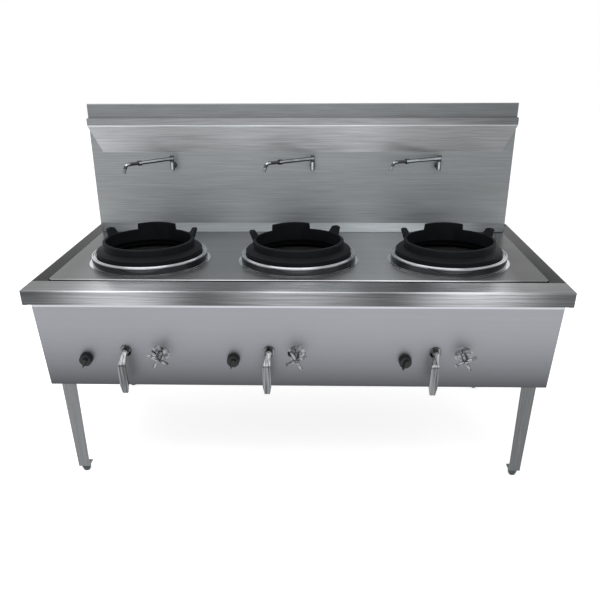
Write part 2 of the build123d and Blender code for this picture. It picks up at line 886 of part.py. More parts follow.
with BuildPart() as knee_lever:
    axis_depth = panel_depth(lever_drop)
    knee_height = -lever_drop - lever_knee_drop
    tip_height = -lever_drop - lever_length
    lever_back = [
        (axis_depth - cock_rosette - lever_root, -lever_drop - lever_thickness / 2),
        (axis_depth - lever_knee_reach + lever_thickness, knee_height),
        (axis_depth - lever_tip_reach + lever_thickness, tip_height),
    ]
    extrude(folded(side_view, lever_back, lever_thickness, Side.RIGHT), amount=2 * paddle_width, both=True)
    with BuildSketch(upright(0)) as lever_face:
        with BuildLine():
            FilletPolyline(
                (-lever_neck_width / 2, 0),
                (-lever_neck_width / 2, -lever_drop),
                (-lever_knee_width / 2 - lever_side_step, knee_height),
                (-paddle_width / 2 - lever_side_step, tip_height + paddle_tip),
                (-paddle_tip_width / 2 - lever_side_step, tip_height),
                (paddle_tip_width / 2 - lever_side_step, tip_height),
                (paddle_width / 2 - lever_side_step, tip_height + paddle_tip),
                (lever_knee_width / 2 - lever_side_step, knee_height),
                (lever_neck_width / 2, -lever_drop),
                (lever_neck_width / 2, 0),
                radius=lever_corner,
                close=True,
            )
        make_face()
    extrude(amount=-rim_depth, both=True, mode=Mode.INTERSECT)
    hub = disc(on_panel(0, lever_drop, cock_rosette + swivel_gap), lever_hub_radius)
    extrude(hub, amount=lever_hub_length)
    spindle = disc(on_panel(0, lever_drop, cock_rosette + swivel_gap), lever_spindle_radius)
    extrude(spindle, amount=inlet_collar - cock_rosette - lever_spindle_depth)
keep_set(knee_lever, "knee_lever", along(lever_x))

# ---------------------------------------------------------------- pilot controls
valve_back = -panel_sheet - pilot_valve_length
pilot_depth, pilot_height = behind_panel(knob_drop, -valve_back)
with BuildPart() as pilot_valves:
    for x in knob_x:
        extrude(disc(on_panel(x, knob_drop, -panel_sheet), pilot_neck_radius), amount=panel_sheet)
        extrude(disc(on_panel(x, knob_drop, -panel_sheet), pilot_valve_radius), amount=-pilot_valve_length)
        stem_bore = disc(on_panel(x, knob_drop), stem_radius + shaft_clearance)
        extrude(stem_bore, amount=-stem_depth - 2 * knob_press, mode=Mode.SUBTRACT)
keep(pilot_valves, "pilot_valves")

with BuildPart() as push_collar:
    extrude(disc(on_panel(0, knob_drop, knob_gap - panel_clearance), push_collar_radius), amount=knob_press)
    stem_hole = disc(on_panel(0, knob_drop), stem_radius + shaft_clearance)
    extrude(stem_hole, amount=2 * knob_gap, mode=Mode.SUBTRACT)
keep_set(push_collar, "push_collar", along(knob_x))

with BuildPart() as pilot_knob:
    barrel = knob_barrel - knob_edge
    barrel_radius = knob_radius - barrel * tan(radians(knob_taper))
    barrel_end = disc(on_panel(0, knob_drop, knob_gap + barrel), barrel_radius)
    extrude(disc(on_panel(0, knob_drop, knob_gap), knob_radius), amount=barrel, taper=knob_taper)
    extrude(barrel_end, amount=knob_edge, taper=45)
    with BuildSketch(on_panel(0, knob_drop, knob_gap + knob_barrel / 2)) as grip:
        with Locations(Rotation(0, 0, knob_rest_turn)):
            for offset_up, radius in (grip_round, grip_point):
                with Locations((0, offset_up)):
                    Circle(radius)
        make_hull()
    extrude(amount=knob_height - knob_barrel / 2, taper=grip_taper)
    recess = disc(on_panel(0, knob_drop, knob_gap), push_collar_radius + swivel_gap)
    extrude(recess, amount=knob_press, mode=Mode.SUBTRACT)
    extrude(disc(on_panel(0, knob_drop, knob_gap + knob_press), stem_radius), amount=-stem_depth)
keep_set(pilot_knob, "pilot_knob", along(knob_x))

inlet_lane = (panel_depth(knob_drop) + pilot_depth) / 2
inlet_end = behind_panel(knob_drop, pilot_valve_length / 2)[1] + pilot_valve_radius + panel_clearance
with BuildPart() as pilot_tubes:
    for n in stations:
        x = knob_x[n]
        pilot_x = mixer_x[n] - pilot_offset
        inlet_route = [
            place(x, gas_depth - manifold_radius, gas_height),
            place(x, inlet_lane, gas_height),
            place(x, inlet_lane, inlet_end),
        ]
        add(tube(inlet_route, pilot_tube_radius))
        outlet_route = [
            place(x, pilot_depth + panel_clearance, pilot_height),
            place(x, gas_depth, pilot_height),
            place(pilot_x, gas_depth, pilot_height),
            place(pilot_x, burner_depth, pilot_height),
            place(pilot_x, burner_depth, -burner_drop),
        ]
        add(tube(outlet_route, pilot_tube_radius))
keep(pilot_tubes, "pilot_tubes")

# ---------------------------------------------------------------- water taps
outlet_depth, outlet_height = behind_panel(tap_drop, tap_outlet_setback)
union_height = outlet_height + tap_body_radius + inlet_collar * 2
main_line = Plane(origin=place(0, water_main_depth, -water_main_drop), x_dir=(0, 1, 0), z_dir=(1, 0, 0))
with BuildPart() as water_tap:
    with BuildSketch(on_panel(0, tap_drop)) as rosette_foot:
        Circle(tap_rosette_radius)
    with BuildSketch(on_panel(0, tap_drop, tap_bonnet / 3)) as rosette_top:
        Circle(tap_neck_radius + inlet_collar)
    loft()
    extrude(disc(on_panel(0, tap_drop), tap_bonnet_radius), amount=tap_bonnet)
    extrude(disc(on_panel(0, tap_drop), tap_neck_radius), amount=-panel_sheet)
    extrude(disc(on_panel(0, tap_drop, -panel_sheet), tap_body_radius), amount=-tap_body_length)
    with BuildSketch(level(outlet_height)) as union:
        with Locations((0, outlet_depth)):
            Circle(water_tube_radius + inlet_collar)
    extrude(amount=union_height - outlet_height)
    with BuildSketch(level(-water_main_drop)) as tap_leg:
        with Locations((0, water_main_depth)):
            Circle(faucet_pipe_radius)
    extrude(amount=water_main_drop - tap_drop)
    extrude(disc(main_line, water_main_radius), amount=range_width, both=True, mode=Mode.SUBTRACT)
    stem_hole = disc(on_panel(0, tap_drop, tap_bonnet), stem_radius + shaft_clearance)
    extrude(stem_hole, amount=-tap_bonnet - stem_depth, mode=Mode.SUBTRACT)
keep_set(water_tap, "water_tap", along(tap_x))

cap_edge = panel_depth(tap_drop) + control_reach - handle_cap_radius * sin(panel_angle)
handle_front = cap_edge / cos(panel_angle)
handle_back = tap_bonnet + swivel_gap
arm_level = handle_front - 1.5 * handle_cap_radius
with BuildPart() as cross_handle:
    extrude(disc(Plane.XY.offset(handle_back), handle_hub_radius), amount=arm_level - handle_back)
    extrude(disc(Plane.XY.offset(arm_level), handle_cap_radius), amount=handle_front - arm_level)
    extrude(disc(Plane.XY.offset(handle_back), stem_radius), amount=-tap_bonnet - stem_depth / 2)
    for quarter in range(4):
        arm_root = Plane(origin=(0, 0, arm_level), z_dir=Vector(1, 0, 0).rotate(Axis.Z, 90 * quarter))
        extrude(disc(arm_root, handle_arm_radius), amount=handle_arm, taper=handle_arm_taper)
handle_spots = [
    on_panel(x, tap_drop).location * Location((0, 0, 0), (0, 0, turn))
    for x, turn in zip(tap_x, handle_rest_turns)
]
keep_set(cross_handle, "cross_handle", handle_spots)

with BuildPart() as water_pipes:
    main_route = [
        place(tap_x[2] + 4 * water_main_radius, water_main_depth, -water_main_drop),
        place(water_inlet_x, water_main_depth, -water_main_drop),
        place(water_inlet_x, rim_depth, -water_main_drop),
    ]
    add(tube(main_route, water_main_radius))
    with BuildSketch(upright(rim_depth)) as nipple:
        with Locations((water_inlet_x, -water_main_drop)):
            Circle(water_main_radius + inlet_collar)
    extrude(amount=inlet_length)
    with BuildSketch(upright(rim_depth)) as bore:
        with Locations((water_inlet_x, -water_main_drop)):
            Circle(water_main_radius - drain_wall)
    extrude(amount=inlet_length, mode=Mode.SUBTRACT)
    for n in stations:
        riser_route = [
            place(tap_x[n], outlet_depth, union_height),
            place(tap_x[n], outlet_depth, -water_tube_drop),
            place(water_lane_x[n], outlet_depth, -water_tube_drop),
            place(water_lane_x[n], riser_depth, -water_tube_drop),
            place(faucet_x[n], riser_depth, -water_tube_drop),
            place(faucet_x[n], riser_depth, faucet_pipe_height),
            place(faucet_x[n], riser_depth - 3 * water_tube_radius, faucet_pipe_height),
        ]
        add(tube(riser_route, water_tube_radius))
keep(water_pipes, "water_pipes")

# ---------------------------------------------------------------- faucets
pipe_start = riser_depth - 3 * water_tube_radius
with BuildPart() as faucet_post:
    with BuildSketch(upright(splash_depth(faucet_pipe_height) + faucet_flange)) as flange:
        with Locations((0, faucet_pipe_height)):
            Circle(faucet_flange_radius)
    extrude(amount=2 * faucet_flange)
    low = faucet_pipe_height - 2 * faucet_flange_radius
    high = faucet_pipe_height + 2 * faucet_flange_radius
    with BuildSketch(side_view) as splash_side:
        with BuildLine():
            Polyline(
                (splash_depth(low), low),
                (splash_depth(low) + 3 * faucet_flange, low),
                (splash_depth(high) + 3 * faucet_flange, high),
                (splash_depth(high), high),
                close=True,
            )
        make_face()
    extrude(amount=faucet_flange_radius, both=True, mode=Mode.SUBTRACT)
    with BuildSketch(upright(pipe_start)) as pipe:
        with Locations((0, faucet_pipe_height)):
            Circle(faucet_pipe_radius)
    extrude(amount=pipe_start - faucet_depth)
    with BuildSketch(level(faucet_bottom)) as post:
        with Locations((0, faucet_depth)):
            Circle(faucet_radius)
    extrude(amount=faucet_split - faucet_bottom)
    chamfer(faucet_post.faces().sort_by(Axis.Z)[0].edges(), length=faucet_edge)
    with BuildSketch(level(faucet_split)) as spigot:
        with Locations((0, faucet_depth)):
            Circle(faucet_spigot_radius)
    extrude(amount=faucet_top - faucet_split - 2 * panel_sheet)
keep_set(faucet_post, "faucet_post", along(faucet_x))

arm_height = (faucet_split + faucet_top) / 2
arm_spots = [Location(place(x, faucet_depth, 0), (0, 0, turn)) for x, turn in zip(faucet_x, arm_rest_angles)]


def across(reach):
    """Plane square to the faucet arm, which runs out along X from its post before it is swung."""
    return Plane(origin=(reach, 0, arm_height), x_dir=(0, 1, 0), z_dir=(1, 0, 0))


with BuildPart() as faucet_arm:
    with BuildSketch(Plane.XY.offset(faucet_split + swivel_gap)) as swivel_cap:
        Circle(faucet_radius)
    extrude(amount=faucet_top - faucet_split)
    extrude(disc(across(faucet_spigot_radius + rim_sheet), arm_radius), amount=arm_collar_start)
    extrude(disc(across(arm_collar_start), arm_collar_radius), amount=arm_grip_start - arm_collar_start)
    extrude(disc(across(arm_grip_start), arm_core_radius), amount=arm_grip_end - arm_grip_start)
    spout = [Vector(reach, 0, arm_height + rise) for reach, rise in ((arm_grip_end, 0.0), *spout_line)]
    add(tube(spout, spout_radius))
    mouth = Plane(origin=spout[-1], z_dir=spout[-1] - spout[-2])
    extrude(disc(mouth, aerator_radius), amount=-aerator_length)
    extrude(disc(mouth, arm_core_radius), amount=-aerator_length, mode=Mode.SUBTRACT)
    with BuildSketch(Plane.XY.offset(faucet_split + swivel_gap)) as swivel_bore:
        Circle(faucet_spigot_radius + shaft_clearance)
    extrude(amount=faucet_top - faucet_split - 2 * panel_sheet, mode=Mode.SUBTRACT)
keep_set(faucet_arm, "faucet_arm", arm_spots)

with BuildPart() as faucet_grip:
    extrude(disc(across(arm_grip_start), grip_radius), amount=arm_grip_end - arm_grip_start)
    sleeve_bore = disc(across(arm_grip_start), arm_core_radius + shaft_clearance)
    extrude(sleeve_bore, amount=arm_grip_end - arm_grip_start, mode=Mode.SUBTRACT)
keep_set(faucet_grip, "faucet_grip", arm_spots)
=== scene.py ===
"""Looks of a free-standing three-burner wok range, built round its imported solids."""

import math

import bmesh
import bpy
from mathutils import Matrix, Vector


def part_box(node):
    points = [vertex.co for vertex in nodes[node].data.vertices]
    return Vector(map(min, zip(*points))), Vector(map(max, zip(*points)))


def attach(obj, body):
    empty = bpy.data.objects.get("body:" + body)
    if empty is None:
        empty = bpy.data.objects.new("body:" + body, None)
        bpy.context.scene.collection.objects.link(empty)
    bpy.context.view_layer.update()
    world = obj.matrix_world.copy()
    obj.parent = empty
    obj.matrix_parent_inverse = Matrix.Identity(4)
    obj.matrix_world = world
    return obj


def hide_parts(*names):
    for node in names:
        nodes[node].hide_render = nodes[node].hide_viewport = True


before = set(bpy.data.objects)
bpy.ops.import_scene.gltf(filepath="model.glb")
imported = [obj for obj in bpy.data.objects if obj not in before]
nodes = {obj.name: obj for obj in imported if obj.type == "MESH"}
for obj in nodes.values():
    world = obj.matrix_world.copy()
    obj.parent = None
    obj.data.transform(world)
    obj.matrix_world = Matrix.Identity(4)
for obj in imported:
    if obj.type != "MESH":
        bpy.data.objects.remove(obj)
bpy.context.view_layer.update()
MM = 0.001

# The rim's half width, the depths of its front and rear faces and the deck's height, in metres.
rim_low, rim_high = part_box("top_frame")
HALF_WIDTH = round(rim_high[0], 4)
RIM_FACE = round(rim_low[1], 4)
RIM_BACK = round(rim_high[1], 4)
DECK = round(rim_high[2], 4)

# Where things stand, in millimetres right of the middle and behind the rim's face.
STATIONS = (1, 2, 3)
BURNERS = (-550.0, 0.0, 550.0)
BURNER_DEPTH = 367.0
FAUCETS = ((-519.0, 228.0), (46.8, 216.0), (552.4, 208.0))  # place and resting turn in degrees
FAUCET_DEPTH = 752.0
FAUCET_HEIGHT = 301.3  # the arm's axis above the deck
FLOOR_HEIGHT = -774.0  # the floor from the deck
FEET = (
    ("front_left", -832.5, 119.5),
    ("front_right", 832.5, 119.5),
    ("rear_left", -832.5, 865.5),
    ("rear_right", 832.5, 865.5),
)

# Where the painted light and shade change, in metres in the frame.
STRIP_EDGE = RIM_FACE + 0.106  # the back of the rim's front strip
RIM_FOOT = DECK - 0.049
PANEL_FOOT = DECK - 0.371
DECK_FRONT = RIM_FACE + 0.119
BURNER_LINE = RIM_FACE + BURNER_DEPTH * MM
SPLASH_FOLD = DECK + 0.041  # the top of the splashback's foot
SPLASH_FACE = RIM_FACE + 0.781  # the splashback's face at that fold
LEDGE_TOP = DECK + 0.449
LEDGE_FOLD = DECK + 0.422  # between the ledge's sloping underside and its upright band
LEDGE_FOOT = DECK + 0.320
ARM_LINE = DECK + FAUCET_HEIGHT * MM

# The photograph's camera: its place, its turns in radians and its lens.
CAMERA_PLACE = (75.6, -2071.4, 706.7)
CAMERA_PITCH, CAMERA_YAW, CAMERA_ROLL = 0.489, 0.029, 0.005
SENSOR_WIDTH = 36
FOCAL_LENGTH = 40.22
PICTURE_WIDTH = 600
PICTURE_SHIFT = (-0.5, 100.5)  # in pixels

SHARP_EDGE = math.radians(38)  # edges bent further than this stay sharp, or are eased
FLOOR_REACH = 14
FLOOR_GLOW = 0.72

# Each lamp's name, place, aim, size in metres, watts, and whether metal mirrors it.
LAMPS = (
    ("overhead", (-0.4, -1.2, 3.4), (0, 0, 0.7), (3.6, 2.4), 62, True),
    ("front", (1.2, -3.4, 2.2), (0, -0.3, 0.8), (2.2, 2.2), 26, False),
    ("behind", (-2.0, 2.6, 2.6), (0, 0.2, 0.9), (2.0, 2.0), 16, False),
)


def place(x, depth, height):
    """A point from millimetres right of the middle, behind the rim face and above the deck."""
    return Vector((x * MM, RIM_FACE + depth * MM, DECK + height * MM))


# ---------------------------------------------------------------- camera
def set_camera():
    """Puts the camera where the photograph was taken from."""
    level_right = Vector((math.cos(CAMERA_YAW), math.sin(CAMERA_YAW), 0))
    level_ahead = Vector((-math.sin(CAMERA_YAW), math.cos(CAMERA_YAW), 0))
    up = Vector((0, 0, 1))
    ahead = level_ahead * math.cos(CAMERA_PITCH) - up * math.sin(CAMERA_PITCH)
    raised = level_ahead * math.sin(CAMERA_PITCH) + up * math.cos(CAMERA_PITCH)
    right = level_right * math.cos(CAMERA_ROLL) - raised * math.sin(CAMERA_ROLL)
    top = level_right * math.sin(CAMERA_ROLL) + raised * math.cos(CAMERA_ROLL)
    lens = bpy.data.cameras.new("camera")
    lens.sensor_width = SENSOR_WIDTH
    lens.lens = FOCAL_LENGTH
    lens.shift_x, lens.shift_y = (pixels / PICTURE_WIDTH for pixels in PICTURE_SHIFT)
    lens.clip_start = 0.05
    lens.clip_end = 60
    camera = bpy.data.objects.new("camera", lens)
    turn = Matrix((right, top, -ahead)).transposed()
    camera.matrix_world = Matrix.Translation(place(*CAMERA_PLACE)) @ turn.to_4x4()
    bpy.context.scene.collection.objects.link(camera)
    bpy.context.scene.camera = camera


set_camera()


# ---------------------------------------------------------------- materials
class Value:
    """One shader value; arithmetic on it adds Math nodes."""

    def __init__(self, graph, socket):
        self.graph = graph
        self.socket = socket

    def __add__(self, other):
        return self.graph.maths("ADD", self, other)

    def __sub__(self, other):
        return self.graph.maths("SUBTRACT", self, other)

    def __rsub__(self, other):
        return self.graph.maths("SUBTRACT", other, self)

    def __mul__(self, other):
        return self.graph.maths("MULTIPLY", self, other)

    __radd__ = __add__
    __rmul__ = __mul__


class Graph:
    """A node tree, with one method that adds any node to it."""

    def __init__(self, tree):
        self.tree = tree

    def add(self, kind, settings=None, inputs=None, output=0):
        """Adds a node: its settings first, then the values or links of its sockets."""
        node = self.tree.nodes.new(kind)
        for key, value in (settings or {}).items():
            setattr(node, key, value)
        for key, value in (inputs or {}).items():
            self.join(value, node.inputs[key])
        return Value(self, node.outputs[output]) if node.outputs else None

    def join(self, value, socket):
        """Links a value to a socket, or sets a plain number or colour on it."""
        if isinstance(value, Value):
            self.tree.links.new(value.socket, socket)
        else:
            socket.default_value = value

    def maths(self, operation, first, second):
        return self.add("ShaderNodeMath", {"operation": operation}, {0: first, 1: second})

    def direct(self):
        """One for rays that see the surroundings: from the camera, off metal or through glass."""
        camera, glossy, through = (
            self.add("ShaderNodeLightPath", output=kind)
            for kind in ("Is Camera Ray", "Is Glossy Ray", "Is Transmission Ray")
        )
        return self.maths("MAXIMUM", camera, self.maths("MAXIMUM", glossy, through))


class Finish(Graph):
    """A surface finish: a Principled shader and the pattern nodes that feed it."""

    def __init__(self, name, colour, roughness, metallic=0.0, **constants):
        self.material = bpy.data.materials.new(name)
        self.material.use_nodes = True
        super().__init__(self.material.node_tree)
        self.shader = self.tree.nodes["Principled BSDF"]
        self.shader.inputs["Base Color"].default_value = (*colour, 1)
        self.shader.inputs["Roughness"].default_value = roughness
        self.shader.inputs["Metallic"].default_value = metallic
        for socket, value in constants.items():
            self.shader.inputs[socket.replace("_", " ")].default_value = value

    def feed(self, socket, value):
        """Drives one of the shader's sockets."""
        self.join(value, self.shader.inputs[socket])

    def spot(self):
        """Object coordinates, in metres."""
        return self.add("ShaderNodeTexCoord", output="Object")

    def stretched(self, scale):
        """Object coordinates scaled along each axis."""
        return self.add("ShaderNodeMapping", None, {"Vector": self.spot(), "Scale": scale})

    def axis(self, kind):
        """The point's X, Y or Z, in metres."""
        return self.add("ShaderNodeSeparateXYZ", None, {0: self.spot()}, output=kind)

    def away(self, value, centre=0.0):
        """How far a value is from a centre, to either side."""
        offset = value - centre if centre else value
        return self.add("ShaderNodeMath", {"operation": "ABSOLUTE"}, {0: offset})

    def noise(self, scale, detail=2.0, where=None, roughness=0.5):
        """Soft noise from 0 to 1, at the given places or all over the object."""
        sockets = {"Vector": where or self.spot(), "Scale": scale}
        sockets.update({"Detail": detail, "Roughness": roughness})
        return self.add("ShaderNodeTexNoise", None, sockets)

    def between(self, value, low, high, out_low=0.0, out_high=1.0, smooth=False):
        """The value remapped from one range to another and held inside it."""
        kind = "SMOOTHSTEP" if smooth else "LINEAR"
        sockets = {"Value": value, "From Min": low, "From Max": high}
        sockets.update({"To Min": out_low, "To Max": out_high})
        return self.add("ShaderNodeMapRange", {"interpolation_type": kind, "clamp": True}, sockets)

    def blend(self, share, first, second):
        """A colour between two colours, which the Mix node takes at its sockets 6 and 7."""
        return self.add(
            "ShaderNodeMix",
            {"data_type": "RGBA"},
            {0: share, 6: first if isinstance(first, Value) else (*first, 1),
             7: second if isinstance(second, Value) else (*second, 1)},
            output=2,
        )

    def scaled(self, colour, share):
        """A colour darkened or lightened by a number."""
        return self.add("ShaderNodeVectorMath", {"operation": "SCALE"}, {0: colour, "Scale": share})

    def bump(self, height, strength, distance):
        """Fine relief, with its depth in metres."""
        relief = {"Height": height, "Strength": strength, "Distance": distance}
        self.feed("Normal", self.add("ShaderNodeBump", None, relief))


MIDDLE_OF_NOISE = (0.34, 0.66)


def times(tone, share):
    """A tone made darker or lighter."""
    return [part * share for part in tone]


def brushed_steel(name, tone, grain, contrast=0.22, roughness=0.34, shade=None, wide=0.25):
    """Stainless sheet with fine brush lines along its grain.

    Contrast says how far the lines differ and wide how many are broad; shade multiplies the tone by
    painted light and shade.
    """
    finish = Finish(name, tone, roughness, metallic=1.0)
    lines = finish.noise(1.0, 3.0, finish.stretched(grain), 0.6)
    broad = finish.noise(1.0, 2.0, finish.stretched(times(grain, 0.12)), 0.5)
    cloud = finish.noise(3.1, 2.0)
    mark = finish.between(lines * (1 - wide) + broad * wide, *MIDDLE_OF_NOISE)
    colour = finish.blend(mark, times(tone, 1 - contrast), times(tone, 1 + contrast))
    if shade:
        colour = finish.scaled(colour, shade(finish))
    finish.feed("Base Color", colour)
    finish.feed("Roughness", mark * 0.08 + cloud * 0.08 + (roughness - 0.08))
    finish.bump(mark, 0.06, 0.0004)
    return finish.material


def polished_steel(name, tone, roughness=0.1, patch=(38.0, 38.0, 38.0), depth=0.07, shade=None):
    """Plated or polished metal; patch and depth say how small and how deep its patches are: smears,
    and painted reflections where they are deep.
    """
    finish = Finish(name, tone, roughness, metallic=1.0)
    # Light and dark patches: smears, and painted reflections where depth is large.
    cloud = finish.noise(1.0, 3.0, finish.stretched(patch))
    smear_and_reflection = finish.between(cloud, *MIDDLE_OF_NOISE, smooth=True)
    dust = finish.noise(210.0, 2.0)
    colour = finish.blend(smear_and_reflection, times(tone, 1 - depth), times(tone, 1 + depth))
    if shade:
        colour = finish.scaled(colour, shade(finish))
    finish.feed("Base Color", colour)
    finish.feed("Roughness", smear_and_reflection * 0.09 + dust * 0.04 + (roughness - 0.05))
    return finish.material


def rough_iron(name, tone, roughness=0.56, specular=0.2):
    """Sand-cast iron, dull black with a fine pebbled skin."""
    finish = Finish(name, tone, roughness, Specular_IOR_Level=specular)
    skin = finish.noise(520.0, 4.0)
    patch = finish.noise(24.0, 3.0)
    finish.feed("Base Color", finish.blend(patch, times(tone, 0.6), times(tone, 1.5)))
    finish.feed("Roughness", patch * 0.16 + skin * 0.12 + (roughness - 0.14))
    finish.bump(skin * 0.7 + patch * 0.3, 0.32, 0.0009)
    return finish.material


def moulded_plastic(name, tone, roughness=0.4, specular=0.5):
    """Moulded plastic with a fine spark-eroded skin."""
    finish = Finish(name, tone, roughness, Specular_IOR_Level=specular)
    skin = finish.noise(1400.0, 2.0)
    scuff = finish.noise(60.0, 3.0)
    finish.feed("Base Color", finish.blend(scuff, times(tone, 0.8), times(tone, 1.25)))
    finish.feed("Roughness", scuff * 0.12 + (roughness - 0.06))
    finish.bump(skin, 0.14, 0.0002)
    return finish.material


def drawn_tube(name, tone, roughness=0.3):
    """Drawn or turned yellow metal, slightly tarnished."""
    finish = Finish(name, tone, roughness, metallic=1.0)
    tarnish = finish.noise(17.0, 4.0)
    colour = finish.blend(finish.between(tarnish, 0.3, 0.7), times(tone, 0.55), tone)
    finish.feed("Base Color", colour)
    finish.feed("Roughness", tarnish * 0.2 + (roughness - 0.1))
    return finish.material


def zinc_coat(name, tone):
    """Zinc-coated pipe with its crystal patches."""
    finish = Finish(name, tone, 0.48, metallic=0.8)
    cells = {"Vector": finish.spot(), "Scale": 160.0}
    crystal = finish.add("ShaderNodeTexVoronoi", None, cells, output="Color")
    level = finish.add("ShaderNodeSeparateColor", None, {0: crystal})
    finish.feed("Base Color", finish.blend(level, times(tone, 0.75), times(tone, 1.15)))
    finish.feed("Roughness", level * 0.15 + 0.4)
    return finish.material


# The painted highlights along the rim, in metres: their pitch on its upright face, and the centre,
# the reach and the gain of each on its level strip.
HIGHLIGHT_PITCH = 0.585
LEVEL_HIGHLIGHTS = ((-0.520, 0.26, 1.75), (0.020, 0.23, 1.75), (0.560, 0.19, 1.90))


def rim_shade(finish):
    """Painted light: highlight bands and a highlight along the rim's folded front edge, shade on
    its front face, near its ends and in its gutters.
    """
    x, y, z = (finish.axis(kind) for kind in "XYZ")

    def highlight_band(centre, reach, gain):
        return finish.between(finish.away(x, centre), reach, 0.0, 0.0, gain, smooth=True)

    aside = finish.away(x)
    # Painted highlights: a wave along the upright face, dimmer in its middle, and bands on the
    # level strip.
    turns = x * (math.tau / HIGHLIGHT_PITCH)
    wave = finish.add("ShaderNodeMath", {"operation": "COSINE"}, {0: turns})
    upright = 1.01 + wave * 0.63 - highlight_band(0.0, 0.26, 0.62)
    shine = sum(highlight_band(*where) for where in LEVEL_HIGHLIGHTS)
    on_front = finish.between(y, STRIP_EDGE + 0.0170, STRIP_EDGE - 0.0030)
    level = 0.5 + shine * on_front + (1 - on_front) * 0.3
    level = level - finish.between(aside, HALF_WIDTH - 0.14, HALF_WIDTH - 0.04, 0.0, 0.18)
    on_face = finish.between(y, RIM_FACE + 0.0040, RIM_FACE + 0.0020)
    rim_highlights = level + (upright - level) * on_face

    # The front face is painted darker than the top, with a painted highlight along the edge between
    # them.
    face = finish.between(y, RIM_FACE + 0.0004, RIM_FACE + 0.0030, 0.62, 1.0)
    fold_highlight = finish.between(y, RIM_FACE + 0.0070, RIM_FACE + 0.0030)
    fold_highlight = fold_highlight * finish.between(z, DECK - 0.0060, DECK - 0.0030)

    # Painted shade in the gutters, darkest in the gap just behind the front strip.
    within = finish.between(y, STRIP_EDGE - 0.0005, STRIP_EDGE + 0.0005)
    within = within * finish.between(y, RIM_BACK - 0.0015, RIM_BACK - 0.0025)
    within = within * finish.between(aside, HALF_WIDTH - 0.0015, HALF_WIDTH - 0.0021)
    gutter = within * finish.between(z, DECK - 0.0008, DECK - 0.0018)
    gap = finish.between(y, STRIP_EDGE + 0.0140, STRIP_EDGE + 0.0120)
    return (face + fold_highlight * 0.5) * rim_highlights * (1 - gutter * (0.875 + gap * 0.1))


def panel_shade(finish):
    """The apron panels get painted shade towards their lower edge and a painted highlight just
    under the rim.
    """
    z = finish.axis("Z")
    drop = finish.between(z, RIM_FOOT, PANEL_FOOT)
    hem_highlight = finish.between(z, RIM_FOOT - 0.0165, RIM_FOOT - 0.0150)
    return 1 - drop * drop * 0.74 + hem_highlight * 0.8


def ring_shade(finish):
    """A ring's wall and the front of its foot and beads are painted darker than the rest, as
    painted dark reflections.
    """
    y, z = finish.axis("Y"), finish.axis("Z")
    wall = finish.between(z, DECK + 0.0022, DECK + 0.0034)
    wall = wall * finish.between(z, DECK + 0.0250, DECK + 0.0236)
    foot = finish.between(z, DECK + 0.0034, DECK + 0.0022)
    foot = foot * finish.between(y, BURNER_LINE - 0.094, BURNER_LINE - 0.174)
    beads = finish.between(z, DECK + 0.0252, DECK + 0.0262)
    beads = beads * finish.between(y, BURNER_LINE - 0.084, BURNER_LINE - 0.174)
    return 1 - wall * 0.9 - foot * 0.72 - beads * 0.35


def ledge_shade(finish):
    """Painted light: the sloping underside is painted brighter than the upright band, with a
    painted highlight along the edge between them, and both get painted shade towards the right.
    """
    x, z = finish.axis("X"), finish.axis("Z")
    slope = finish.between(z, LEDGE_FOOT - 0.004, LEDGE_FOLD - 0.004, 1.6, 1.36)
    slope = slope - finish.between(z, LEDGE_FOLD - 0.004, LEDGE_FOLD + 0.002, 0.0, 0.48)
    fold_highlight = finish.between(z, LEDGE_FOLD - 0.0035, LEDGE_FOLD - 0.0020)
    fold_highlight = fold_highlight * finish.between(z, LEDGE_FOLD + 0.0025, LEDGE_FOLD + 0.0010)
    across = finish.between(x, -0.8, 0.1, 0.92, 1.12) - finish.between(x, 0.25, 0.80, 0.0, 0.58)
    return slope * across * (1 + fold_highlight)


def splash_shade(finish):
    """The splashback is painted brighter towards its foot, has a painted highlight along the top of
    its foot, strongest at the right, and painted shade at its top edge and right end.
    """
    x, y, z = (finish.axis(kind) for kind in "XYZ")
    hem_highlight = finish.between(z, SPLASH_FOLD + 0.0005, SPLASH_FOLD - 0.0010)
    hem_highlight = hem_highlight * finish.between(y, SPLASH_FACE + 0.012, SPLASH_FACE + 0.008)
    hem_highlight = hem_highlight * (1.1 + finish.between(x, 0.55, 0.72, 0.0, 1.1))
    height = finish.between(z, DECK + 0.026, DECK + 0.176, 1.50, 1.18)
    top = finish.between(z, LEDGE_TOP - 0.023, LEDGE_TOP - 0.003, 0.0, 0.30)
    right = finish.between(x, 0.1, 0.85, 0.0, 0.26)
    return height + hem_highlight - top - right


def deck_shade(finish):
    """The deck has painted light and shade across its width, darkest near its ends, a painted
    highlight along its folded front edge and painted shade on the lip below it.
    """
    x, y, z = (finish.axis(kind) for kind in "XYZ")
    across = finish.between(x, -0.80, -0.60, 0.48, 1.3) + finish.between(x, 0.10, 0.30, 0.0, 0.85)
    across = across - finish.between(x, 0.50, 0.76, 0.0, 1.94)
    fold_highlight = finish.between(y, DECK_FRONT + 0.0110, DECK_FRONT + 0.0080, 1.0, 2.2)
    lip = finish.between(z, DECK - 0.0006, DECK - 0.0016, 1.0, 0.04)
    return across * fold_highlight * lip


def arm_shade(finish):
    """A faucet's arm has a painted highlight along its middle and painted dark reflections above
    and below it, weaker down the spout.
    """
    z = finish.axis("Z")
    above = finish.between(z, ARM_LINE + 0.0043, ARM_LINE + 0.0055)
    below = finish.between(z, ARM_LINE - 0.0017, ARM_LINE - 0.0029)
    spout = finish.between(z, ARM_LINE - 0.0153, ARM_LINE - 0.0128, 0.45, 1.0)
    return 1 - (above + below * spout) * 0.84


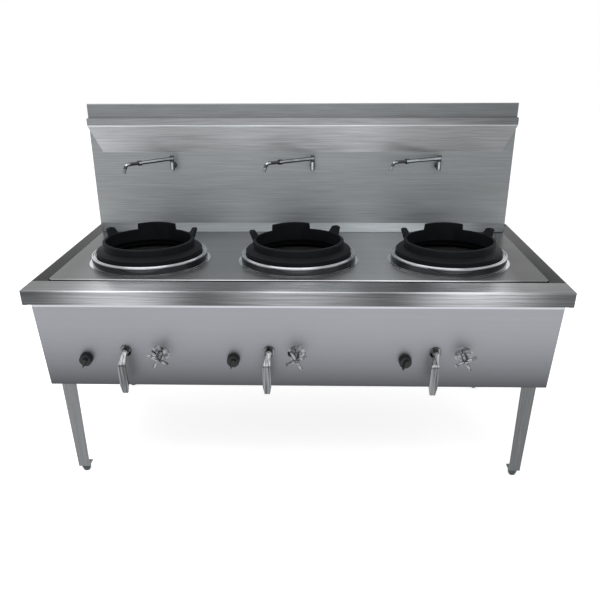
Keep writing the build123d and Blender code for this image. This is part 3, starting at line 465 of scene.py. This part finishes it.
def post_shade(finish):
    """A faucet's post has a painted highlight along its middle and is painted dark at its sides."""
    lit = 0.34
    for x, _ in FAUCETS:
        # Each post's painted highlight lies 0.6 mm left of its axis.
        middle = (x - 0.6) * MM
        lit = lit + finish.between(finish.away(finish.axis("X"), middle), 0.0042, 0.0016, 0.0, 1.1)
    return lit


def leg_shade(finish):
    """The right-hand legs are painted darker, as painted shade for the less light they stand in."""
    return finish.between(finish.axis("X"), -0.5, 0.5, 1.0, 0.74)


ALONG_X = (1.6, 900.0, 900.0)
ALONG_Z = (900.0, 900.0, 1.6)

deck_steel = brushed_steel("deck_steel", (0.20, 0.205, 0.208), ALONG_X, shade=deck_shade)
rim_steel = brushed_steel(
    "rim_steel", (0.36, 0.366, 0.376), (5.0, 420.0, 420.0),
    contrast=0.42, roughness=0.3, shade=rim_shade,
)
panel_steel = brushed_steel(
    "panel_steel", (0.284, 0.289, 0.312), ALONG_X,
    contrast=0.06, roughness=0.46, shade=panel_shade,
)
splash_steel = brushed_steel(
    "splash_steel", (0.23, 0.243, 0.248), (6.0, 760.0, 760.0),
    contrast=0.2, roughness=0.42, shade=splash_shade, wide=0.12,
)
ledge_steel = brushed_steel(
    "ledge_steel", (0.31, 0.318, 0.325), (6.0, 520.0, 520.0),
    contrast=0.26, roughness=0.42, shade=ledge_shade, wide=0.15,
)
leg_steel = brushed_steel(
    "leg_steel", (0.165, 0.17, 0.175), ALONG_Z, contrast=0.25, shade=leg_shade,
)
# The deep patches on the chrome and the levers are painted reflections.
chrome = polished_steel("chrome", (0.175, 0.184, 0.194), patch=(80.0, 80.0, 80.0), depth=0.55)
arm_chrome = polished_steel(
    "arm_chrome", (0.31, 0.335, 0.355), patch=(20.0, 20.0, 60.0), depth=0.2, shade=arm_shade,
)
post_chrome = polished_steel(
    "post_chrome", (0.31, 0.335, 0.355), patch=(40.0, 40.0, 40.0), depth=0.3, shade=post_shade,
)
lever_chrome = polished_steel(
    "lever_chrome", (0.14, 0.145, 0.15), patch=(210.0, 60.0, 6.0), depth=0.5,
)
ring_chrome = polished_steel(
    "ring_chrome", (0.64, 0.66, 0.68),
    roughness=0.13, patch=(9.0, 9.0, 9.0), depth=0.14, shade=ring_shade,
)
black_iron = rough_iron("black_iron", (0.005, 0.0062, 0.0070), specular=0.08)
pot_iron = rough_iron("pot_iron", (0.03, 0.029, 0.028), roughness=0.66)
knob_plastic = moulded_plastic("knob_plastic", (0.007, 0.0078, 0.0085), specular=0.3)
grip_plastic = moulded_plastic("grip_plastic", (0.015, 0.015, 0.016), roughness=0.3)
foot_steel = polished_steel("foot_steel", (0.06, 0.075, 0.078), roughness=0.4)
brass = drawn_tube("brass", (0.66, 0.46, 0.17))
copper = drawn_tube("copper", (0.72, 0.36, 0.22), roughness=0.28)
zinc_pipe = zinc_coat("zinc_pipe", (0.33, 0.34, 0.35))

# The start of a node's name, and the finish of every node that begins with it; the longest counts.
node_finishes = {
    "top_frame": rim_steel,
    "deck_plate": deck_steel,
    "front_panel": panel_steel,
    "side_panel_left": panel_steel,
    "side_panel_right": panel_steel,
    "rear_panel": panel_steel,
    "splash_sheet": splash_steel,
    "splash_cover": splash_steel,
    "splash_ledge": ledge_steel,
    "leg": leg_steel,
    "foot": foot_steel,
    "chamber_ring": ring_chrome,
    "burner_pot": pot_iron,
    "jet_burner": pot_iron,
    "wok_rest": black_iron,
    "gas_cock": lever_chrome,
    "knee_lever": lever_chrome,
    "push_collar": brass,
    "pilot_knob": knob_plastic,
    "water_tap": chrome,
    "cross_handle": chrome,
    "faucet_post": post_chrome,
    "faucet_arm": arm_chrome,
    "faucet_grip": grip_plastic,
    "pilot_valves": brass,
    "pilot_tubes": copper,
    "gas_manifold": zinc_pipe,
    "water_pipes": copper,
}
for name, node in nodes.items():
    family = max((key for key in node_finishes if name.startswith(key)), key=len)
    node.data.materials.clear()
    node.data.materials.append(node_finishes[family])


# ---------------------------------------------------------------- pieces
def seat(x, depth, height, turn=0.0):
    """A place for a piece that is built in millimetres about its own upright axis."""
    here = Matrix.Translation(place(x, depth, height))
    return here @ Matrix.Rotation(math.radians(turn), 4, "Z") @ Matrix.Scale(MM, 4)


def spun(bm, section, steps):
    """Spins the section that was added last once round the upright axis, and closes the shape."""
    before = len(bm.verts) - sum(isinstance(item, bmesh.types.BMVert) for item in section)
    bmesh.ops.spin(
        bm, geom=section, cent=(0, 0, 0), axis=(0, 0, 1), angle=math.tau, steps=steps,
        use_merge=True,
    )
    bm.verts.ensure_lookup_table()
    bmesh.ops.remove_doubles(bm, verts=bm.verts[before:], dist=0.01)


def turned(bm, profile, steps):
    """Turns a (radius, height) profile; a closed profile ends where it starts."""
    chain = [bm.verts.new((radius, 0, height)) for radius, height in profile]
    edges = [bm.edges.new(pair) for pair in zip(chain, chain[1:])]
    spun(bm, chain + edges, steps)


def bead(bm, reach, height, radius, steps):
    """A rolled bead of round section at a reach from the upright axis."""
    lying = Matrix.Translation((reach, 0, height)) @ Matrix.Rotation(math.radians(90), 4, "X")
    section = bmesh.ops.create_circle(bm, segments=14, radius=radius, matrix=lying)["verts"]
    edges = {edge for vertex in section for edge in vertex.link_edges}
    spun(bm, section + list(edges), steps)


def drawn(bm, route, radius, sides=5):
    """A round bar along a smooth route of points."""
    line = bpy.data.curves.new("route", "CURVE")
    line.dimensions = "3D"
    line.bevel_depth = radius
    line.bevel_resolution = sides
    line.use_fill_caps = True
    spline = line.splines.new("NURBS")
    spline.points.add(len(route) - 1)
    for point, spot in zip(spline.points, route):
        point.co = (*spot, 1)
    spline.order_u = 3
    spline.use_endpoint_u = True
    spline.resolution_u = 6
    holder = bpy.data.objects.new("route", line)
    bm.from_mesh(bpy.data.meshes.new_from_object(holder))
    bpy.data.objects.remove(holder)
    bpy.data.curves.remove(line)


def finished(name, bm, where, finish, body, slot, *solids, ease=0.0, segments=2):
    """Puts a mesh in its place as a piece with its finish and body, standing for the solids; its
    slot is not used.

    Its sharp edges are rounded off by ease, in millimetres, as casting or polishing leaves them.
    """
    bmesh.ops.transform(bm, matrix=where, verts=bm.verts)
    bmesh.ops.recalc_face_normals(bm, faces=bm.faces)
    mesh = bpy.data.meshes.new(name)
    bm.to_mesh(mesh)
    bm.free()
    mesh.shade_smooth()
    mesh.set_sharp_from_angle(angle=SHARP_EDGE)
    mesh.materials.append(finish)
    piece = bpy.data.objects.new(name, mesh)
    bpy.context.scene.collection.objects.link(piece)
    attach(piece, body)
    if solids:
        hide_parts(*solids)
    if ease:
        edge = piece.modifiers.new("edge", "BEVEL")
        edge.width = ease * MM
        edge.segments = segments
        edge.limit_method = "ANGLE"
        edge.angle_limit = SHARP_EDGE
        edge.harden_normals = True


def eased(name, solid, ease, finish, body, slot, segments=2):
    """A piece like one of the solids, with its sharp edges rounded off."""
    bm = bmesh.new()
    bm.from_mesh(nodes[solid].data)
    bmesh.ops.remove_doubles(bm, verts=bm.verts, dist=1e-5)
    bmesh.ops.dissolve_limit(bm, angle_limit=math.radians(1), verts=bm.verts, edges=bm.edges)
    finished(name, bm, Matrix(), finish, body, slot, solid, ease=ease, segments=segments)


def make_chamber_ring(n, x):
    """The polished ring round a burner: a thin foot, an upright wall and two rolled beads."""
    steps = 96
    bm = bmesh.new()
    foot = [(181, 0.05), (221, 0.05), (221, 2), (210.4, 2)]
    wall = [(210, 26.8), (194, 26.8), (193, 25.5), (193, 14), (181, 14), (181, 0.05)]
    turned(bm, foot + wall, steps)
    bead(bm, 206.7, 26.7, 3.3, steps)
    bead(bm, 199.2, 27.2, 2.6, steps)
    finished(
        f"rolled_ring_{n}", bm, seat(x, BURNER_DEPTH, 0), ring_chrome, "range_body", "chrome",
        f"chamber_ring_{n}", ease=0.6,
    )


def make_faucet_arm(n, x, turn):
    """A faucet's arm, with its swivel cap, two collars and a bent spout."""
    arm = bmesh.new()
    turned(arm, [(0, -12.7), (8.5, -12.7), (8.5, 9), (7.2, 11.4), (3.5, 12.7), (0, 12.9)], 32)
    drawn(arm, [(0, 0, 0), (70, 0, 0), (147.5, 0, 0)], 7.2)
    drawn(arm, [(158, 0, 0), (180, 0, 0), (203, 0, 0)], 4.4, sides=3)
    drawn(arm, [(201.6, 0, 0), (206, 0, 0), (215, 0, -1.5), (221, 0, -12), (229.6, 0, -27)], 6.4)
    for start, end, radius in ((147, 162, 9.7), (201.5, 204, 7.0)):
        drawn(arm, [(start, 0, 0), ((start + end) / 2, 0, 0), (end, 0, 0)], radius, sides=7)
    drawn(arm, [(227.2, 0, -22.9), (228.4, 0, -25.1), (230, 0, -28)], 7.3)
    finished(
        f"faucet_spout_{n}", arm, seat(x, FAUCET_DEPTH, FAUCET_HEIGHT, turn), arm_chrome,
        f"swing_arm_{n}", "chrome", f"faucet_arm_{n}",
    )


def make_faucet_grip(n, x, turn):
    """The ribbed black sleeve between the arm's collars."""
    grip = bmesh.new()
    profile = [(4.6, 0), (5.8, 0), (6.3, 0.6)]
    for rib in range(9):
        profile += [(6.3, 2.6 + rib * 4), (5.9, 3.2 + rib * 4), (6.3, 3.8 + rib * 4)]
    profile += [(6.3, 38.9), (5.8, 39.5), (4.6, 39.5), (4.6, 0)]
    turned(grip, profile, 28)
    lying = Matrix.Rotation(math.radians(90), 3, "Y")
    bmesh.ops.rotate(grip, verts=grip.verts, cent=(0, 0, 0), matrix=lying)
    bmesh.ops.translate(grip, verts=grip.verts, vec=(162.2, 0, 0))
    finished(
        f"faucet_sleeve_{n}", grip, seat(x, FAUCET_DEPTH, FAUCET_HEIGHT, turn), grip_plastic,
        f"swing_arm_{n}", "grip_black", f"faucet_grip_{n}",
    )


def make_foot(name, x, depth):
    """A bullet foot on its screw."""
    bm = bmesh.new()
    cup = [(0, 0.2), (10.5, 0.2), (12, 1.2), (14.6, 7), (16.6, 13.6), (17, 16), (17, 24), (15, 27)]
    screw = [(6.2, 27.6), (6, 51), (5, 51.6), (0, 51.6)]
    turned(bm, cup + screw, 40)
    finished(
        f"bullet_foot_{name}", bm, seat(x, depth, FLOOR_HEIGHT), foot_steel, f"foot_{name}",
        "foot_steel", f"foot_{name}",
    )


# Piece, solid, ease in millimetres, finish, body, slot and segments, at every station.
EASED_PARTS = (
    ("knee_paddle", "knee_lever", 2.2, lever_chrome, "knee_lever_{}", "chrome", 3),
    ("tap_handle", "cross_handle", 1.6, chrome, "cross_handle_{}", "chrome", 3),
    ("turned_knob", "pilot_knob", 1.2, knob_plastic, "pilot_knob_{}", "knob_black", 2),
    ("tap_rosette", "water_tap", 0.8, chrome, "range_body", "chrome", 2),
    ("faucet_stem", "faucet_post", 0.8, post_chrome, "range_body", "chrome", 2),
    ("cock_rosette", "gas_cock", 0.8, lever_chrome, "range_body", "chrome", 2),
)

for n, x in zip(STATIONS, BURNERS):
    make_chamber_ring(n, x)
    rest = f"wok_rest_{n}"
    eased(f"cast_rest_{n}", rest, 2.4, black_iron, rest, "cast_iron", segments=3)
for n, (x, turn) in zip(STATIONS, FAUCETS):
    make_faucet_arm(n, x, turn)
    make_faucet_grip(n, x, turn)
for name, x, depth in FEET:
    make_foot(name, x, depth)
for n in STATIONS:
    for piece, solid, ease, finish, body, slot, segments in EASED_PARTS:
        eased(f"{piece}_{n}", f"{solid}_{n}", ease, finish, body.format(n), slot, segments)


# ---------------------------------------------------------------- stage and light
def make_stage():
    """A white floor and surroundings, with soft lamps overhead and in front."""
    mesh = bpy.data.meshes.new("floor")
    bm = bmesh.new()
    bmesh.ops.create_grid(bm, x_segments=1, y_segments=1, size=FLOOR_REACH)
    bm.to_mesh(mesh)
    bm.free()
    floor = bpy.data.objects.new("floor", mesh)
    bpy.context.scene.collection.objects.link(floor)
    paint = Finish(
        "floor_paint", (0.8, 0.8, 0.8), 0.9, Specular_IOR_Level=0.0, Emission_Strength=1.0,
    )
    paint.feed("Emission Color", paint.blend(paint.direct(), (0, 0, 0), [FLOOR_GLOW] * 3))
    mesh.materials.append(paint.material)

    world = bpy.data.worlds.new("studio")
    bpy.context.scene.world = world
    world.use_nodes = True
    world.node_tree.nodes.clear()
    studio = Graph(world.node_tree)
    soft = studio.add("ShaderNodeBackground", None, {"Color": (0.98, 0.99, 1, 1), "Strength": 0.5})
    white = studio.add("ShaderNodeBackground", None, {"Color": (1, 1, 1, 1), "Strength": 1.0})
    sky = studio.add("ShaderNodeMixShader", None, {0: studio.direct(), 1: soft, 2: white})
    studio.add("ShaderNodeOutputWorld", None, {0: sky})

    for name, spot, aim, size, power, mirrored in LAMPS:
        lamp = bpy.data.lights.new(name, "AREA")
        lamp.shape = "RECTANGLE"
        lamp.size, lamp.size_y = size
        lamp.energy = power
        light = bpy.data.objects.new(name, lamp)
        light.location = spot
        light.rotation_euler = (Vector(aim) - Vector(spot)).to_track_quat("-Z", "Y").to_euler()
        light.visible_glossy = mirrored
        bpy.context.scene.collection.objects.link(light)
    bpy.context.scene.view_settings.view_transform = "Standard"


make_stage()
